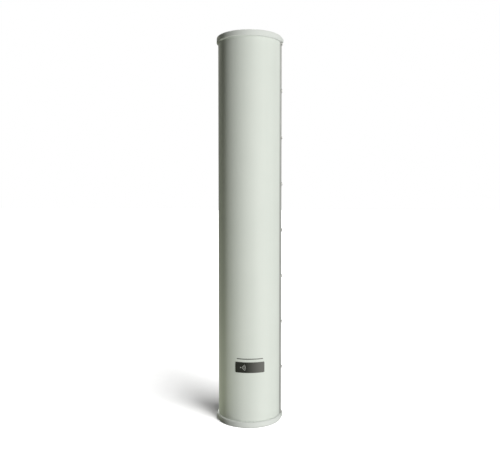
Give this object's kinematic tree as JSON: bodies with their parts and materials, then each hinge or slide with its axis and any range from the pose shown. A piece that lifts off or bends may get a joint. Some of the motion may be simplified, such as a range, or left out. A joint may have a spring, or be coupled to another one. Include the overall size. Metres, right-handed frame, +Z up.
{
  "type": "sector antenna",
  "caption": "Tall vertical sector antenna: half-round radome over a folded aluminium reflector tray, D-shaped end caps, dipole array inside and bracket studs on the back.",
  "frame": {"origin": "middle of the base of the bounding box, on the surface that the bottom cap stands on", "axes": "+Z up along the radome, -Y the front that the half-round radome faces, +Y the flat back with the studs and the connector, +X the side that is on the right when the front is looked at"},
  "size_m": [0.1558, 0.123, 0.9144],
  "materials": {
    "shell_plastic": "satin UV-stable plastic, pale grey-green white",
    "tray_paint": "folded aluminium sheet with a fine-textured grey-white powder coat",
    "gasket_rubber": "matt black silicone foam",
    "screw_steel": "passivated stainless steel",
    "bar_aluminium": "plain mill finish",
    "board_laminate": "woven-glass laminate with tinned copper tracks",
    "foam": "closed-cell foam",
    "coax_copper": "semi-rigid copper jacket",
    "white_plastic": "smooth moulded plastic",
    "connector_nickel": "nickel-plated brass",
    "contact_gold": "gold-plated contact",
    "stud_steel": "zinc-plated steel",
    "badge_foil": "printed satin foil, dark grey"
  },
  "bodies": {
    "root": {"radome": "shell_plastic", "reflector_tray": "tray_paint", "bottom_cap": "shell_plastic", "bottom_gasket": "gasket_rubber", "cap_screw_bottom_left": "screw_steel", "cap_screw_bottom_right": "screw_steel", "top_cap": "shell_plastic", "top_gasket": "gasket_rubber", "cap_screw_top_left": "screw_steel", "cap_screw_top_right": "screw_steel", "clamp_bar_right": "bar_aluminium", "side_screw_right_1": "screw_steel", "side_screw_right_2": "screw_steel", "side_screw_right_3": "screw_steel", "side_screw_right_4": "screw_steel", "side_screw_right_5": "screw_steel", "side_screw_right_6": "screw_steel", "side_screw_right_7": "screw_steel", "side_screw_right_8": "screw_steel", "side_screw_right_9": "screw_steel", "clamp_bar_left": "bar_aluminium", "side_screw_left_1": "screw_steel", "side_screw_left_2": "screw_steel", "side_screw_left_3": "screw_steel", "side_screw_left_4": "screw_steel", "side_screw_left_5": "screw_steel", "side_screw_left_6": "screw_steel", "side_screw_left_7": "screw_steel", "side_screw_left_8": "screw_steel", "side_screw_left_9": "screw_steel", "feed_board_lower": "board_laminate", "foam_spacer_lower": "foam", "feed_board_upper": "board_laminate", "foam_spacer_upper": "foam", "dipole_card_1": "board_laminate", "dipole_card_2": "board_laminate", "dipole_card_3": "board_laminate", "dipole_card_4": "board_laminate", "dipole_card_5": "board_laminate", "dipole_card_6": "board_laminate", "dipole_card_7": "board_laminate", "dipole_card_8": "board_laminate", "power_divider": "board_laminate", "coax_jumper": "coax_copper", "coax_clip_1": "white_plastic", "coax_clip_2": "white_plastic", "connector_body": "connector_nickel", "connector_nut": "connector_nickel", "connector_insulator": "white_plastic", "connector_pin": "contact_gold", "connector_seal": "gasket_rubber", "mounting_stud_1": "stud_steel", "stud_nut_1": "stud_steel", "mounting_stud_2": "stud_steel", "stud_nut_2": "stud_steel", "mounting_stud_3": "stud_steel", "stud_nut_3": "stud_steel", "mounting_stud_4": "stud_steel", "stud_nut_4": "stud_steel", "badge": "badge_foil"}
  },
  "joints": []
}
